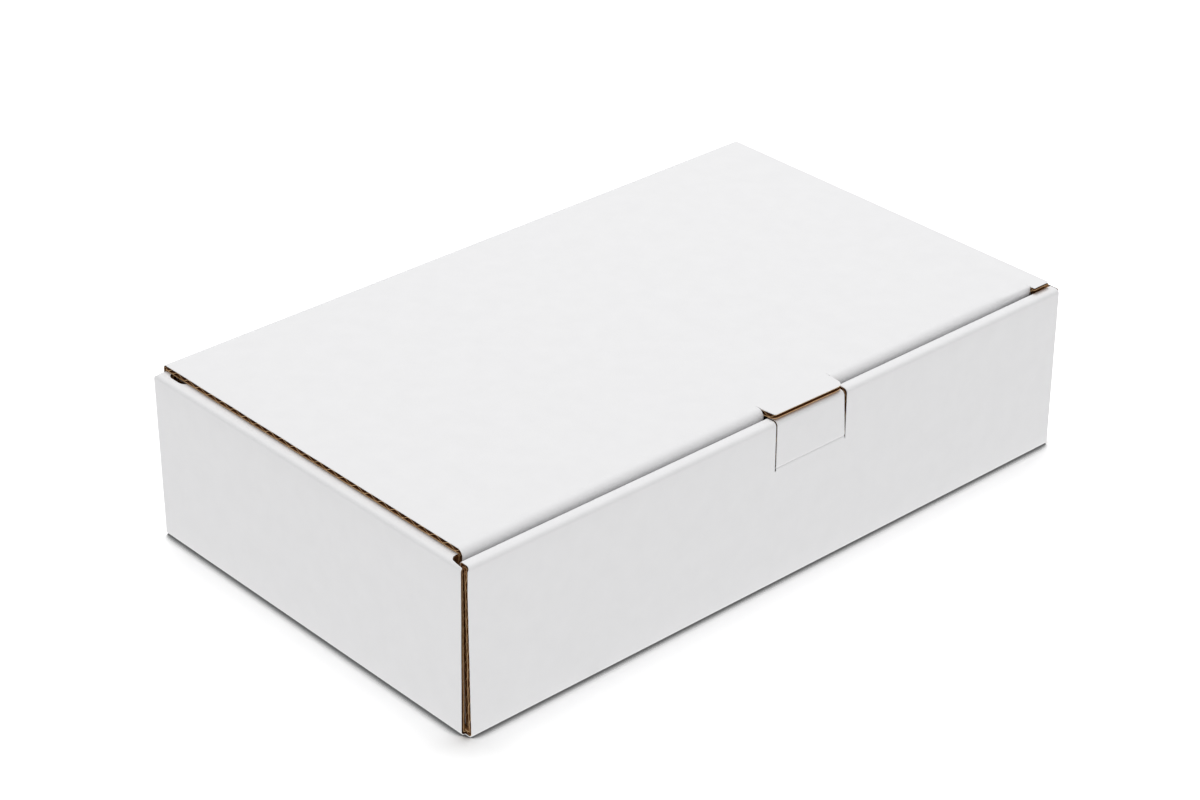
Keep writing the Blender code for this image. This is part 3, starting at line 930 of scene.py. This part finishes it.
def kraft_material(name, dark, light):
    """Brown paper of unbleached fibres: noise drawn out into soft streaks, and a paper tooth."""
    nodes = Nodes(name, KRAFT_ROUGHNESS)
    fibres = nodes.scaled(nodes.sheet, FIBRE_STRETCH)
    streaks = nodes.noise(fibres, scale=500, detail=5, roughness=0.65)
    colour = nodes.ramp(streaks, [(0.32, linear(*dark)), (0.68, linear(*light))])
    nodes.link(colour, nodes.shader.inputs["Base Color"])
    tooth = nodes.noise(nodes.object, scale=1800, detail=4)
    nodes.link(nodes.bump(tooth, strength=0.3), nodes.shader.inputs["Normal"])
    return nodes.material


def board_pieces(name, board, papers):
    """The three layers of one board as objects: white liner, kraft liner and fluted sheet. The fluted
    sheet's darkened brown is partly its own colour and partly painted shade, and it also covers both
    liners' faces towards the flutes as painted shade.
    """
    white, white_cut_highlight, kraft, fluting_and_hollow_shade, cut = papers
    return [
        # Its rims get a painted highlight: a lighter tone at the white liner's cut edges
        mesh_piece(f"{name}_white_liner", board.white, [white, white_cut_highlight, fluting_and_hollow_shade]),
        mesh_piece(f"{name}_kraft_liner", board.kraft, [fluting_and_hollow_shade, cut, kraft]),
        mesh_piece(f"{name}_fluting", board.flutes, [fluting_and_hollow_shade, cut, fluting_and_hollow_shade]),
    ]


def build_pieces():
    """The box's pieces: those of the tray, the lid and the tab each ride their body, and those of the
    lid's crease and the tab's score stay as they are built.
    """
    papers = (
        white_liner_material("white_liner", *WHITE_TONES),
        # a lighter copy of the white liner for its cut edges, as painted highlight
        white_liner_material("white_liner_painted_highlight_edge", *WHITE_CUT_HIGHLIGHT_TONES),
        kraft_material("kraft_liner", *KRAFT_TONES),
        # the fluted sheet's brown, darkened as painted shade of the hollow flutes
        kraft_material("fluting_and_hollow_shade", *FLUTING_AND_HOLLOW_SHADE_TONES),
        kraft_material("liner_cut_edge", *LINER_CUT_TONES),
    )
    for node, board, slot in (
        ("tray", make_tray(), "white_board_tray"),
        ("lid", make_lid(), "white_board_lid"),
        ("front_tab", make_front_tab(), "white_board_tab"),
    ):
        pieces = board_pieces(node, board, papers)
        for piece in pieces:
            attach(piece, node)
        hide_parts(node)
    for piece in board_pieces("lid_crease", make_lid_crease(), papers):
        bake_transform(piece)
    for piece in board_pieces("tab_score", make_tab_score(), papers):
        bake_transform(piece)


# Floor, light and camera

def light_path_mix(tree, for_others, for_camera):
    """Shows the camera one shader and everything else another."""
    mix = tree.nodes.new("ShaderNodeMixShader")
    path = tree.nodes.new("ShaderNodeLightPath")
    tree.links.new(path.outputs["Is Camera Ray"], mix.inputs["Fac"])
    tree.links.new(for_others, mix.inputs[1])
    tree.links.new(for_camera, mix.inputs[2])
    return mix.outputs["Shader"]


def add_floor():
    """A wide white floor that also lights the walls from below. Close to the box it darkens."""
    mesh = bpy.data.meshes.new("floor")
    corners = np.array([(-1, -1), (1, -1), (1, 1), (-1, 1)]) * FLOOR_REACH
    mesh.from_pydata([(x, y, -FLOOR_GAP) for x, y in corners], [], [(0, 1, 2, 3)])
    floor = bpy.data.objects.new("floor", mesh)
    bpy.context.scene.collection.objects.link(floor)
    material = bpy.data.materials.new("white_floor")
    material.use_nodes = True
    tree = material.node_tree
    tree.nodes.remove(tree.nodes["Principled BSDF"])
    near = tree.nodes.new("ShaderNodeAmbientOcclusion")
    near.samples = CONTACT_SAMPLES
    near.inputs["Distance"].default_value = CONTACT_REACH
    ramp = tree.nodes.new("ShaderNodeValToRGB")
    stops = ramp.color_ramp.elements
    for place, share in CONTACT_SHADE[1:-1]:
        stops.new(place)
    for stop, (place, share) in zip(stops, CONTACT_SHADE):
        stop.position = place
        stop.color = (*[FLOOR_SEEN * share] * 3, 1)
    tree.links.new(near.outputs["AO"], ramp.inputs["Fac"])
    seen = tree.nodes.new("ShaderNodeBsdfDiffuse")
    tree.links.new(ramp.outputs["Color"], seen.inputs["Color"])
    glow = tree.nodes.new("ShaderNodeEmission")
    glow.inputs["Color"].default_value = (1, 1, 1, 1)
    glow.inputs["Strength"].default_value = FLOOR_GLOW
    shader = light_path_mix(tree, glow.outputs[0], seen.outputs[0])
    tree.links.new(shader, tree.nodes["Material Output"].inputs["Surface"])
    mesh.materials.append(material)


def add_light():
    """An even pale surround, and a large soft lamp high above, a little to the back right."""
    scene = bpy.context.scene
    world = bpy.data.worlds.new("studio")
    scene.world = world
    world.use_nodes = True
    tree = world.node_tree
    surround = tree.nodes["Background"]
    surround.inputs["Color"].default_value = (1, 1, 1, 1)
    surround.inputs["Strength"].default_value = SURROUND
    backdrop = tree.nodes.new("ShaderNodeBackground")
    backdrop.inputs["Color"].default_value = (1, 1, 1, 1)
    shader = light_path_mix(tree, surround.outputs[0], backdrop.outputs[0])
    tree.links.new(shader, tree.nodes["World Output"].inputs["Surface"])
    lamp = bpy.data.lights.new("overhead", "AREA")
    lamp.shape = "DISK"
    lamp.size = LAMP_SIZE
    lamp.energy = LAMP_POWER
    overhead = bpy.data.objects.new("overhead", lamp)
    overhead.location = LAMP_PLACE
    overhead.rotation_euler = (-LAMP_PLACE).to_track_quat("-Z", "Y").to_euler()
    scene.collection.objects.link(overhead)


def add_camera():
    """The camera at the photograph's angle, looking down on the left front corner."""
    scene = bpy.context.scene
    camera = bpy.data.cameras.new("camera")
    camera.sensor_width = SENSOR
    camera.lens = FOCAL_PIXELS * SENSOR / IMAGE_WIDTH
    camera.clip_end = CAMERA_SEES
    holder = bpy.data.objects.new("camera", camera)
    level = math.cos(CAMERA_RISE)
    toward = Vector((level * math.cos(CAMERA_TURN), level * math.sin(CAMERA_TURN), math.sin(CAMERA_RISE)))
    holder.location = CAMERA_TARGET + CAMERA_DISTANCE * toward
    holder.rotation_euler = (-toward).to_track_quat("-Z", "Y").to_euler()
    scene.collection.objects.link(holder)
    scene.camera = holder
    scene.view_settings.view_transform = "Standard"


build_pieces()
add_floor()
add_light()
add_camera()
